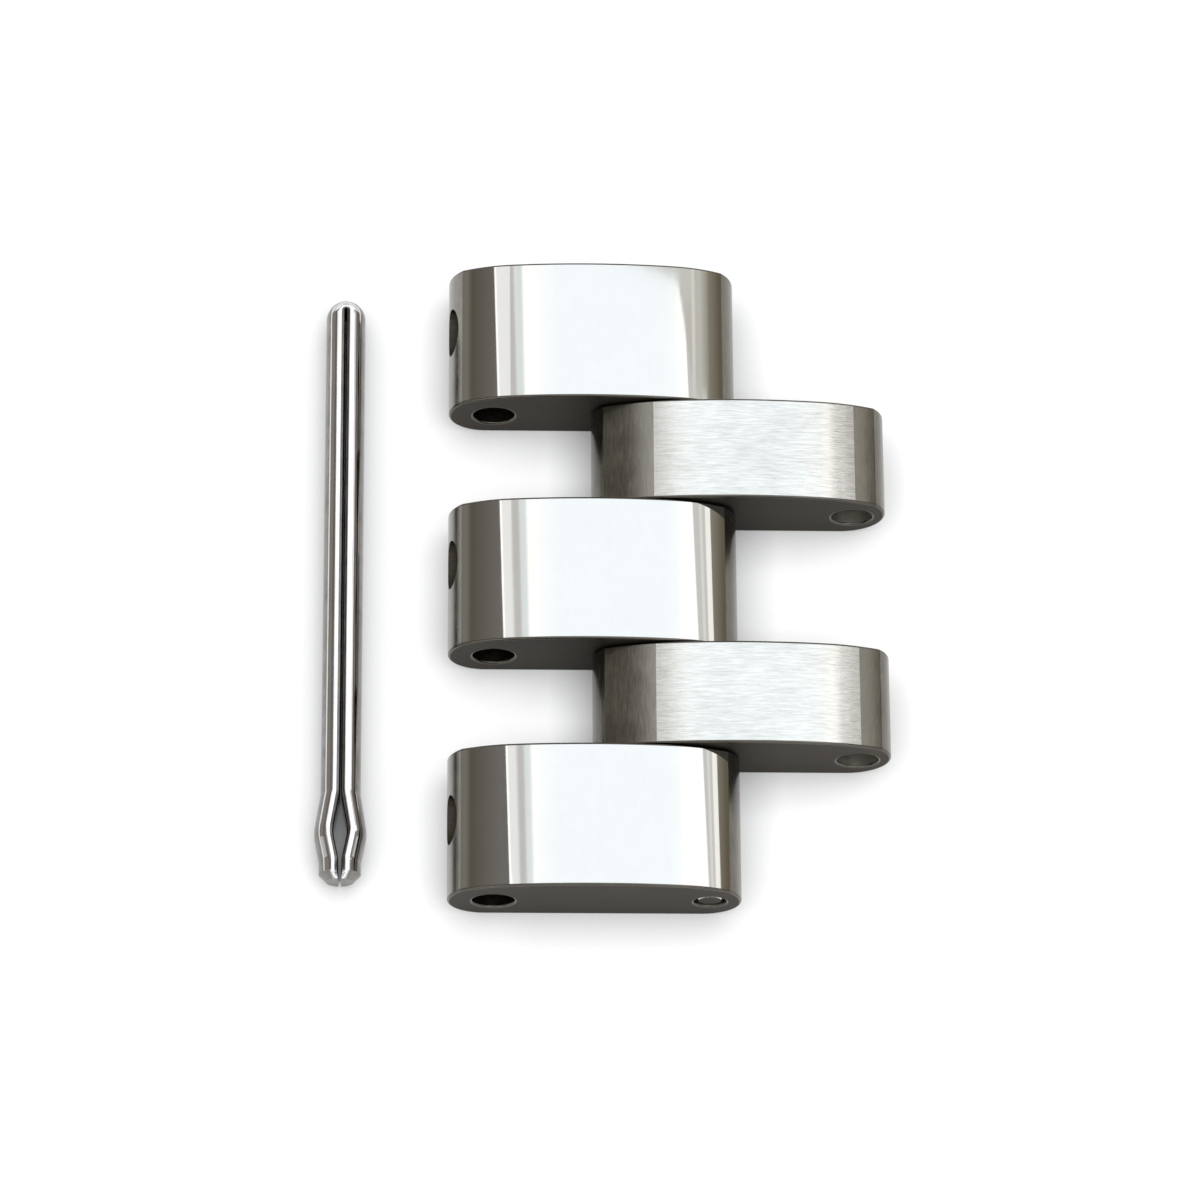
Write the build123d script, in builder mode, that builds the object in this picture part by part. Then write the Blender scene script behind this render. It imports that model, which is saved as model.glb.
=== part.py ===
"""Watch bracelet link: three polished and two brushed steel pieces on a hinge pin.

Millimetres. X runs along the bracelet, Y across it and Z up from the underside, which lies on Z 0.
The origin is under the middle of the overlap of the two rows, at half the bracelet's width.
A loose split pin for the next joint lies beside the polished noses.
"""
from build123d import *
import os

os.makedirs("parts", exist_ok=True)

# Widths across the bracelet, and the running gap between neighbouring pieces
outer_width = 4.44
centre_width = 4.56
brushed_width = 3.22
side_gap = 0.03

# Lengths along the bracelet, and how far the two rows overlap
polished_length = 8.75
brushed_length = 8.95
row_overlap = 4.40

# Side outline of the pieces: a crown between two shoulders, which fall to a crease above each
# nose. Insets are measured from the ends, and drops from the top of the crown.
thickness = 2.85
shoulder_drop = 0.16
crease_drop = 0.65
polished_shoulder_inset = 1.88
polished_crease_inset = 0.40
polished_nose_radius = 1.15
brushed_shoulder_inset = 2.00
brushed_crease_inset = 0.34
brushed_nose_radius = 1.30
edge_break = 0.02

# Split pin, folded from half-round wire
split_pin_diameter = 1.20
split_pin_length = 18.80
seam_gap = 0.04
seam_edge_radius = 0.10
bulge_width = 1.60
tip_gap = 0.10
split_reach = 2.68
bulge_reach = 1.48
closing_reach = 0.63
leg_bend_radius = 0.90
tip_chamfer = 0.22
split_pin_distance = 3.18
split_pin_shift = 0.15

# Bores for the split pin: through the polished noses, and through the brushed tails
bore_height = 1.20
nose_bore_inset = 1.38
nose_bore_clearance = 0.025
tail_bore_inset = 1.00
tail_bore_clearance = 0.015

# Oval hole in each polished nose, from its end to the middle of the nose bore. Its middle lies
# a little behind the middle of the piece.
nose_hole_width = 1.54
nose_hole_rise = 0.86
nose_hole_height = 1.62
back_hole_shift = 0.36
centre_hole_shift = 0.50
front_hole_shift = 0.16

# Hinge pin through the polished tails, on which the brushed row turns
hinge_pin_diameter = 0.95
hinge_pin_inset = 0.94
hinge_clearance = 0.025
hinge_pin_recess = 0.06
hinge_pin_chamfer = 0.14

# Places that follow from the sizes
link_width = 2 * outer_width + centre_width + 2 * brushed_width + 4 * side_gap
polished_tail = row_overlap / 2
polished_nose = polished_tail - polished_length
brushed_nose = -row_overlap / 2
brushed_tail = brushed_nose + brushed_length
nose_bore_x = polished_nose + nose_bore_inset
tail_bore_x = brushed_tail - tail_bore_inset
hinge_x = polished_tail - hinge_pin_inset
split_pin_radius = split_pin_diameter / 2
nose_bore_radius = split_pin_radius + nose_bore_clearance
tail_bore_radius = split_pin_radius + tail_bore_clearance
hinge_pin_radius = hinge_pin_diameter / 2
turning_bore_radius = hinge_pin_radius + hinge_clearance


def side_plane(y):
    """Upright plane across the bracelet: its x is X, its y is Z and it faces -Y."""
    return Plane(origin=(0, y, 0), x_dir=(1, 0, 0), z_dir=(0, -1, 0))


def side_outline(nose, length, nose_radius, crease_inset, shoulder_inset):
    """Flat underside, round noses and a crown that rolls over its shoulders to the creases."""
    tail = nose + length
    crease_height = thickness - crease_drop
    shoulder_height = thickness - shoulder_drop
    tail_crease = (tail - crease_inset, crease_height)
    nose_crease = (nose + crease_inset, crease_height)
    with BuildSketch(mode=Mode.PRIVATE) as outline:
        with BuildLine():
            Line((nose + nose_radius, 0), (tail - nose_radius, 0))
            CenterArc((tail - nose_radius, nose_radius), nose_radius, -90, 90)
            TangentArc((tail, nose_radius), tail_crease, tangent=(0, 1))
            crown = ThreePointArc(
                (tail - shoulder_inset, shoulder_height),
                ((nose + tail) / 2, thickness),
                (nose + shoulder_inset, shoulder_height),
            )
            TangentArc(crown @ 0, tail_crease, tangent=-(crown % 0))
            TangentArc(crown @ 1, nose_crease, tangent=crown % 1)
            TangentArc((nose, nose_radius), nose_crease, tangent=(0, 1))
            CenterArc((nose + nose_radius, nose_radius), nose_radius, 180, 90)
        make_face()
    return outline.sketch


def save(part, name):
    """Names a finished piece and writes it as its own node."""
    part.label = name
    export_step(part, f"parts/{name}.step")


# The five pieces lie side by side from the back edge to the front edge.
back_outer_y = link_width / 2
back_brushed_y = back_outer_y - outer_width - side_gap
centre_y = back_brushed_y - brushed_width - side_gap
front_brushed_y = centre_y - centre_width - side_gap
front_outer_y = front_brushed_y - brushed_width - side_gap

# Polished pieces. The outer two hold the hinge pin, and the centre one turns on it.
polished_outline = side_outline(
    polished_nose,
    polished_length,
    polished_nose_radius,
    polished_crease_inset,
    polished_shoulder_inset,
)
polished_pieces = [
    ("polished_link_back", back_outer_y, outer_width, hinge_pin_radius, back_hole_shift),
    ("polished_link_centre", centre_y, centre_width, turning_bore_radius, centre_hole_shift),
    ("polished_link_front", front_outer_y, outer_width, hinge_pin_radius, front_hole_shift),
]
for name, back_face, width, hinge_bore_radius, hole_shift in polished_pieces:
    nose_hole_plane = Plane(
        origin=(polished_nose, back_face - width / 2 + hole_shift, nose_hole_height),
        x_dir=(0, 1, 0),
        z_dir=(1, 0, 0),
    )
    with BuildPart() as polished_link:
        with BuildSketch(side_plane(back_face)):
            add(polished_outline)
            with Locations((nose_bore_x, bore_height)):
                Circle(nose_bore_radius, mode=Mode.SUBTRACT)
            with Locations((hinge_x, bore_height)):
                Circle(hinge_bore_radius, mode=Mode.SUBTRACT)
        extrude(amount=width)
        chamfer(polished_link.faces().filter_by(Axis.Y).edges(), edge_break)
        with BuildSketch(nose_hole_plane):
            Ellipse(nose_hole_width / 2, nose_hole_rise / 2)
        extrude(amount=nose_bore_inset, mode=Mode.SUBTRACT)
    save(polished_link.part, name)

# Brushed pieces. Both turn on the hinge pin, and their tails take the next link's split pin.
brushed_outline = side_outline(
    brushed_nose,
    brushed_length,
    brushed_nose_radius,
    brushed_crease_inset,
    brushed_shoulder_inset,
)
brushed_pieces = [
    ("brushed_link_back", back_brushed_y),
    ("brushed_link_front", front_brushed_y),
]
for name, back_face in brushed_pieces:
    with BuildPart() as brushed_link:
        with BuildSketch(side_plane(back_face)):
            add(brushed_outline)
            with Locations((hinge_x, bore_height)):
                Circle(turning_bore_radius, mode=Mode.SUBTRACT)
            with Locations((tail_bore_x, bore_height)):
                Circle(tail_bore_radius, mode=Mode.SUBTRACT)
        extrude(amount=brushed_width)
        chamfer(brushed_link.faces().filter_by(Axis.Y).edges(), edge_break)
    save(brushed_link.part, name)

# Hinge pin. Its ends stay a little inside the outer faces.
with BuildPart() as hinge_pin:
    with BuildSketch(side_plane(link_width / 2 - hinge_pin_recess)):
        with Locations((hinge_x, bore_height)):
            Circle(hinge_pin_radius)
    extrude(amount=link_width - 2 * hinge_pin_recess)
    chamfer(hinge_pin.faces().filter_by(Axis.Y).edges(), hinge_pin_chamfer)
save(hinge_pin.part, "hinge_pin")

# Split pin. Its two half-round legs part near the tips, swell out and close again.
split_pin_x = polished_nose - split_pin_distance
tip_y = split_pin_shift - split_pin_length / 2
fold_y = tip_y + split_pin_length - split_pin_radius
tip_offset = (tip_gap - seam_gap) / 2
bulge_offset = (bulge_width - split_pin_diameter) / 2
fold_plane = Plane(origin=(split_pin_x, fold_y, split_pin_radius), x_dir=(1, 0, 0), z_dir=(0, -1, 0))
leg_points = [
    (split_pin_x, fold_y, split_pin_radius),
    (split_pin_x, tip_y + split_reach, split_pin_radius),
    (split_pin_x + bulge_offset, tip_y + bulge_reach, split_pin_radius),
    (split_pin_x + tip_offset, tip_y + closing_reach, split_pin_radius),
    (split_pin_x + tip_offset, tip_y, split_pin_radius),
]

with BuildSketch(mode=Mode.PRIVATE) as leg_section:
    Circle(split_pin_radius)
    with Locations((seam_gap / 2 - split_pin_radius, 0)):
        Rectangle(2 * split_pin_radius, 2 * split_pin_radius, mode=Mode.SUBTRACT)
    fillet(leg_section.vertices(), seam_edge_radius)

tip_plane = Plane(origin=(split_pin_x, tip_y, split_pin_radius))
tip_radius = split_pin_radius + tip_offset

with BuildPart() as split_pin:
    with BuildLine() as leg_path:
        FilletPolyline(*leg_points, radius=leg_bend_radius)
    with BuildSketch(fold_plane):
        add(leg_section.sketch)
    sweep(path=leg_path.wires()[0])
    mirror(about=Plane.YZ.offset(split_pin_x))
    with BuildSketch(fold_plane):
        add(leg_section.sketch)
    revolve(axis=Axis((split_pin_x, fold_y, 0), (0, 0, 1)), revolution_arc=180)
    with BuildSketch(tip_plane):
        with BuildLine():
            Polyline(
                (tip_radius - tip_chamfer, 0),
                (tip_radius + tip_chamfer, 0),
                (tip_radius + tip_chamfer, 2 * tip_chamfer),
                close=True,
            )
        make_face()
    revolve(axis=Axis(tip_plane.origin, (0, 1, 0)), mode=Mode.SUBTRACT)
save(split_pin.part, "split_pin")
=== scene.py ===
"""Looks of a watch bracelet link: mirror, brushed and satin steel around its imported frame.

Metres. X runs along the bracelet, Y across it and Z up from the underside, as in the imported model.
"""

import logging
import math
from dataclasses import dataclass, replace
from enum import Enum
from typing import Any, ClassVar

import bmesh
import bpy
from mathutils import Euler, Matrix, Vector


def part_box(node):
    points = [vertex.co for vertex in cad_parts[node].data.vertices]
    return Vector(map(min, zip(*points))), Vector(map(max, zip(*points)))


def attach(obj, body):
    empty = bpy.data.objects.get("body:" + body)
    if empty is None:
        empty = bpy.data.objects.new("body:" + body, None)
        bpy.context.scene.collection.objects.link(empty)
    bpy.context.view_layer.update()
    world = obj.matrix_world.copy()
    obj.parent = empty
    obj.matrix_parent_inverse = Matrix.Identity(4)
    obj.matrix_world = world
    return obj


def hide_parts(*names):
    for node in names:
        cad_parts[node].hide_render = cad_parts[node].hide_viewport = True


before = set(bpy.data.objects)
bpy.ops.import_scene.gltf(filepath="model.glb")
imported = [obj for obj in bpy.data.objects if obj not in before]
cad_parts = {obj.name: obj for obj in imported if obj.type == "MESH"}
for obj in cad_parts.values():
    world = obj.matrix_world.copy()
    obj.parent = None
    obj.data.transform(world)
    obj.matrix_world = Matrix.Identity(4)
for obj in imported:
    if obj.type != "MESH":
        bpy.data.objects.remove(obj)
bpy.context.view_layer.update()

log = logging.getLogger("bracelet_link")

MM = 0.001
PHOTO_PIXELS = 1200
WELD_DISTANCE = 0.0002 * MM
SHARP_ANGLE = math.radians(38)


def linear(hex_colour: str) -> tuple[float, float, float, float]:
    """Turns an sRGB hex colour into linear light.

    Args:
        hex_colour: six digits after a hash mark.

    Returns:
        Red, green, blue and an alpha of 1.
    """
    shares = [int(hex_colour[i:i + 2], 16) / 255 for i in (1, 3, 5)]
    light = [s / 12.92 if s <= 0.04045 else ((s + 0.055) / 1.055) ** 2.4 for s in shares]
    return (light[0], light[1], light[2], 1.0)


def scaled(colour: tuple[float, float, float, float], strength: float) -> tuple[float, ...]:
    """Multiplies a linear colour by a strength, and keeps its alpha."""
    return (*(part * strength for part in colour[:3]), 1.0)


def add_node(
    tree: bpy.types.NodeTree,
    kind: str,
    settings: dict[str, Any] | None = None,
    inputs: dict[int | str, Any] | None = None,
) -> bpy.types.Node:
    """Adds a node with its settings, values and links.

    Args:
        tree: the tree that gets the node.
        kind: the node's type name.
        settings: properties of the node by name.
        inputs: a value, a socket, or a node whose first output is linked, by input.

    Returns:
        The new node.
    """
    node = tree.nodes.new(kind)
    for key, value in (settings or {}).items():
        setattr(node, key, value)
    for key, value in (inputs or {}).items():
        source = value.outputs[0] if isinstance(value, bpy.types.Node) else value
        if isinstance(source, bpy.types.NodeSocket):
            tree.links.new(source, node.inputs[key])
        else:
            node.inputs[key].default_value = source
    return node


@dataclass(frozen=True)
class SteelFinish:
    """A finish of bare stainless steel: its tint, its gloss and the marks of the tool that made it.

    grain is the size of one mark along X, Y and Z, and cloud that of the broad, faint patches. The
    tint and the gloss run from one end to the other over a span of the pattern's strength.
    """

    TINT_SPAN: ClassVar[tuple[float, float]] = (0.3, 0.7)
    GLOSS_SPAN: ClassVar[tuple[float, float]] = (0.25, 0.75)
    MARK_ROUGHNESS: ClassVar[float] = 0.6
    CLOUD_DETAIL: ClassVar[float] = 2.0

    name: str
    light: str
    dark: str
    roughness: tuple[float, float]
    grain: tuple[float, float, float]
    relief: float
    cloud: float
    cloud_share: float
    spread_across: float = 0.0
    detail: float = 3.0

    def material(self) -> bpy.types.Material:
        """Makes the finish as a node material.

        Returns:
            The material, which reads object coordinates only.
        """
        made = bpy.data.materials.new(self.name)
        made.use_nodes = True
        tree = made.node_tree
        tree.nodes.clear()
        place = add_node(tree, "ShaderNodeTexCoord")
        marks_place = add_node(
            tree, "ShaderNodeMapping", None,
            {"Vector": place.outputs["Object"], "Scale": [1 / size for size in self.grain]},
        )
        marks = add_node(
            tree, "ShaderNodeTexNoise", None,
            {"Vector": marks_place, "Scale": 1.0, "Detail": self.detail,
             "Roughness": self.MARK_ROUGHNESS},
        )
        clouds = add_node(
            tree, "ShaderNodeTexNoise", None,
            {"Vector": place.outputs["Object"], "Scale": 1 / self.cloud,
             "Detail": self.CLOUD_DETAIL},
        )
        blend = add_node(
            tree, "ShaderNodeMix", {"data_type": "FLOAT"},
            {0: self.cloud_share, 2: marks.outputs["Fac"], 3: clouds.outputs["Fac"]},
        )
        tint_share = add_node(
            tree, "ShaderNodeMapRange", None,
            {"Value": blend, "From Min": self.TINT_SPAN[0], "From Max": self.TINT_SPAN[1]},
        )
        tint = add_node(
            tree, "ShaderNodeMix", {"data_type": "RGBA"},
            {0: tint_share, 6: linear(self.dark), 7: linear(self.light)},
        )
        gloss = add_node(
            tree, "ShaderNodeMapRange", None,
            {
                "Value": blend, "From Min": self.GLOSS_SPAN[0], "From Max": self.GLOSS_SPAN[1],
                "To Min": self.roughness[0], "To Max": self.roughness[1],
            },
        )
        relief = add_node(
            tree, "ShaderNodeBump", None,
            {"Strength": 1.0, "Distance": self.relief, "Height": marks.outputs["Fac"]},
        )
        shader = add_node(
            tree, "ShaderNodeBsdfPrincipled", None,
            {
                "Base Color": tint.outputs[2], "Metallic": 1.0,
                "Roughness": gloss, "Normal": relief,
            },
        )
        if self.spread_across:
            across = add_node(
                tree, "ShaderNodeVectorTransform",
                {"vector_type": "VECTOR", "convert_from": "OBJECT", "convert_to": "WORLD"},
                {0: (0.0, 1.0, 0.0)},
            )
            shader.inputs["Anisotropic"].default_value = self.spread_across
            tree.links.new(across.outputs[0], shader.inputs["Tangent"])
        add_node(tree, "ShaderNodeOutputMaterial", None, {"Surface": shader})
        return made


Materials = dict[SteelFinish, bpy.types.Material]

# The crowns of the polished pieces are buffed: they mirror the studio, with hardly a haze.
MIRROR = SteelFinish(
    name="steel_316l_mirror_polished", light="#BEBDBA", dark="#BBBAB7",
    roughness=(0.02, 0.04), grain=(0.35 * MM, 0.5 * MM, 0.35 * MM), relief=0.00008 * MM,
    cloud=2.5 * MM, cloud_share=0.5, detail=2.0,
)
# The crowns of the brushed pieces carry fine lines along the bracelet, which spread the light
# across it. The lines are drawn about 0.05 mm apart, coarser than real ones, so that they show.
BRUSHED = SteelFinish(
    name="steel_316l_brushed", light="#C9C8C5", dark="#A8A7A2",
    roughness=(0.08, 0.14), grain=(0.50 * MM, 0.045 * MM, 0.50 * MM), relief=0.0030 * MM,
    cloud=1.2 * MM, cloud_share=0.25, spread_across=0.9,
)
# The polished noses are ground across the bracelet and then worn, and so are the shoulders of the
# brushed pieces: they are greyer than the crowns.
GROUND = SteelFinish(
    name="steel_316l_ground_satin", light="#918E86", dark="#787570",
    roughness=(0.16, 0.28), grain=(0.05 * MM, 0.45 * MM, 0.16 * MM), relief=0.0008 * MM,
    cloud=0.9 * MM, cloud_share=0.4,
)
# The tails, and the noses of the brushed pieces, get a darker ground finish: painted shade.
GROUND_PAINTED_SHADE = SteelFinish(
    name="steel_316l_ground_painted_shade", light="#74716A", dark="#5C5952",
    roughness=(0.18, 0.30), grain=(0.05 * MM, 0.45 * MM, 0.16 * MM), relief=0.0008 * MM,
    cloud=0.9 * MM, cloud_share=0.4,
)
# The broken edges get a dark tint, painted shade, so that a thin dark line runs round each face.
EDGE_PAINTED_SHADE = SteelFinish(
    name="steel_316l_broken_edge_painted_shade", light="#5F5B55", dark="#4E4B45",
    roughness=(0.15, 0.25), grain=(0.10 * MM, 0.10 * MM, 0.10 * MM), relief=0.0003 * MM,
    cloud=0.8 * MM, cloud_share=0.5,
)
# The side faces are milled and tumbled: a dull finish, with a warm dark grey tint that is painted
# shade.
TUMBLED_PAINTED_SHADE = SteelFinish(
    name="steel_316l_milled_painted_shade", light="#443F38", dark="#38342E",
    roughness=(0.52, 0.66), grain=(0.10 * MM, 0.10 * MM, 0.10 * MM), relief=0.0016 * MM,
    cloud=1.6 * MM, cloud_share=0.5,
)
# The nose bores are drilled; their walls' dark tint is painted shade, so little light comes back
# out.
DRILLED_PAINTED_SHADE = SteelFinish(
    name="steel_316l_drilled_painted_shade", light="#4A453D", dark="#2E2A24",
    roughness=(0.30, 0.50), grain=(0.30 * MM, 0.05 * MM, 0.30 * MM), relief=0.0020 * MM,
    cloud=0.5 * MM, cloud_share=0.4,
)
# The tail bores are reamed and clean, so that their walls look lighter than the side faces.
REAMED = SteelFinish(
    name="steel_316l_reamed", light="#B5B1A8", dark="#98948A",
    roughness=(0.40, 0.55), grain=(0.30 * MM, 0.05 * MM, 0.30 * MM), relief=0.0010 * MM,
    cloud=0.5 * MM, cloud_share=0.4,
)
# The split pin is drawn spring wire: bright, with faint lines along its length. The hinge pin is
# cut from the same wire.
DRAWN = SteelFinish(
    name="steel_304_drawn_spring_wire", light="#DAD9DB", dark="#C2C0C3",
    roughness=(0.05, 0.11), grain=(0.05 * MM, 1.6 * MM, 0.05 * MM), relief=0.0003 * MM,
    cloud=1.5 * MM, cloud_share=0.4,
)
# The flanks of the split pin keep the pitted skin of the drawing die; their darker tint is painted
# shade.
FLANK_PAINTED_SHADE = SteelFinish(
    name="steel_304_flank_skin_painted_shade", light="#918F8C", dark="#666460",
    roughness=(0.14, 0.26), grain=(0.05 * MM, 0.35 * MM, 0.05 * MM), relief=0.0012 * MM,
    cloud=0.5 * MM, cloud_share=0.5,
)


@dataclass(frozen=True)
class Arc:
    """A round stretch of a side outline, known by its centre and radius."""

    centre: Vector
    radius: float

    def points(self, start: float, end: float, steps: int) -> list[Vector]:
        """Gives evenly spaced points on the arc.

        Args:
            start: angle of the first point, in radians.
            end: angle of the last point, in radians.
            steps: number of equal steps between the two.

        Returns:
            One point more than there are steps.
        """
        angles = [start + (end - start) * i / steps for i in range(steps + 1)]
        return [self.centre + Vector((math.cos(a), math.sin(a))) * self.radius for a in angles]

    def angle_of(self, point: Vector) -> float:
        """Gives the direction of a point from the centre, in radians."""
        return math.atan2(*(point - self.centre).yx)


@dataclass(frozen=True)
class SideOutline:
    """Side view of a link piece, from its nose at x 0 to its tail, with its underside on y 0.

    The crown rolls over a shoulder to a crease, and the nose rounds from there to the underside.
    """

    length: float
    thickness: float
    shoulder_inset: float
    shoulder_drop: float
    crease_inset: float
    crease_drop: float
    nose_radius: float
    crease_radius: float
    crown_steps: int = 40
    shoulder_steps: int = 48
    nose_steps: int = 36
    crease_steps: int = 6

    @property
    def crease_point(self) -> Vector:
        """Place where the tail's shoulder and nose would meet without a round."""
        return Vector((self.length - self.crease_inset, self.thickness - self.crease_drop))

    @property
    def crown(self) -> Arc:
        """The top, between the two shoulders.

        Returns:
            The arc through both ends of the crown and its highest point.
        """
        half = self.length / 2 - self.shoulder_inset
        radius = (half ** 2 + self.shoulder_drop ** 2) / (2 * self.shoulder_drop)
        return Arc(Vector((self.length / 2, self.thickness - radius)), radius)

    @property
    def shoulder(self) -> Arc:
        """The tail's shoulder, which leaves the crown smoothly and ends in the crease.

        Returns:
            The arc that touches the crown at its end and goes through the crease.
        """
        start = Vector((self.length - self.shoulder_inset, self.thickness - self.shoulder_drop))
        outwards = (start - self.crown.centre).normalized()
        chord = self.crease_point - start
        radius = -chord.length_squared / (2 * outwards.dot(chord))
        return Arc(start - outwards * radius, radius)

    @property
    def upper_nose(self) -> Arc:
        """The tail's nose above its furthest point, where it leans in to the crease.

        Returns:
            The arc that leaves the furthest point upright and goes through the crease.
        """
        rise = self.crease_point.y - self.nose_radius
        radius = (self.crease_inset ** 2 + rise ** 2) / (2 * self.crease_inset)
        return Arc(Vector((self.length - radius, self.nose_radius)), radius)

    @property
    def crease(self) -> Arc:
        """The small round that touches both the tail's shoulder and its nose from inside.

        Returns:
            The arc that takes the place of the corner between the two.
        """
        shoulder, nose = self.shoulder, self.upper_nose
        from_shoulder = shoulder.radius - self.crease_radius
        from_nose = nose.radius - self.crease_radius
        between = nose.centre - shoulder.centre
        along = from_shoulder ** 2 - from_nose ** 2 + between.length_squared
        along /= 2 * between.length
        off = math.sqrt(from_shoulder ** 2 - along ** 2)
        unit = between.normalized()
        aside = Vector((-unit.y, unit.x)) * off
        centres = [shoulder.centre + unit * along + aside, shoulder.centre + unit * along - aside]
        return Arc(max(centres, key=lambda centre: centre.x), self.crease_radius)

    def points(self) -> list[Vector]:
        """Draws the outline once round, anticlockwise from the underside's tail end.

        Returns:
            Points on arcs that run smoothly into each other.
        """
        crown, shoulder, nose, crease = self.crown, self.shoulder, self.upper_nose, self.crease
        round_inset = self.length - self.nose_radius
        lower_nose = Arc(Vector((round_inset, self.nose_radius)), self.nose_radius)
        lean = nose.angle_of(crease.centre)
        turn = shoulder.angle_of(crease.centre)
        roll = crown.angle_of(shoulder.centre)
        half = [
            *lower_nose.points(-math.pi / 2, 0.0, self.nose_steps),
            *nose.points(0.0, lean, self.nose_steps // 2)[1:],
            *crease.points(lean, turn, self.crease_steps)[1:],
            *shoulder.points(turn, roll, self.shoulder_steps)[1:],
            *crown.points(roll, math.pi / 2, self.crown_steps)[1:],
        ]
        return half + [Vector((self.length - point.x, point.y)) for point in reversed(half[:-1])]


@dataclass(frozen=True)
class NoseHole:
    """The oval hole in a polished nose: its size, its depth, and its place in the nose."""

    width: float = 0.0
    rise: float = 0.0
    depth: float = 0.0
    height: float = 0.0
    shift: float = 0.0


class PieceTree:
    """Geometry Nodes that turn a line into one steel piece, with named inputs.

    A kind of tree names its line, sizes and finishes, and says how it is filled.
    """

    NAME: ClassVar[str]
    LINE: ClassVar[str]
    SIZES: ClassVar[tuple[str, ...]]
    PLACES: ClassVar[tuple[str, ...]] = ()
    FINISHES: ClassVar[tuple[str, ...]]

    def __init__(self) -> None:
        """Makes the sockets of the tree, and fills it."""
        self.tree = bpy.data.node_groups.new(self.NAME, "GeometryNodeTree")
        kinds = (("Geometry", (self.LINE,)), ("Float", self.SIZES), ("Vector", self.PLACES),
                 ("Material", self.FINISHES))
        sockets = self.tree.interface
        for kind, names in kinds:
            for name in names:
                sockets.new_socket(name, in_out="INPUT", socket_type="NodeSocket" + kind)
        sockets.new_socket("Piece", in_out="OUTPUT", socket_type="NodeSocketGeometry")
        self.inputs = self.tree.nodes.new("NodeGroupInput").outputs
        self.fill()

    def fill(self) -> None:
        """Adds the nodes between the inputs and the finished piece."""
        raise NotImplementedError

    def add(self, kind: str, settings: dict[str, Any] | None = None,
            inputs: dict[int | str, Any] | None = None) -> bpy.types.Node:
        """Adds a node to this tree."""
        return add_node(self.tree, kind, settings, inputs)


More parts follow.
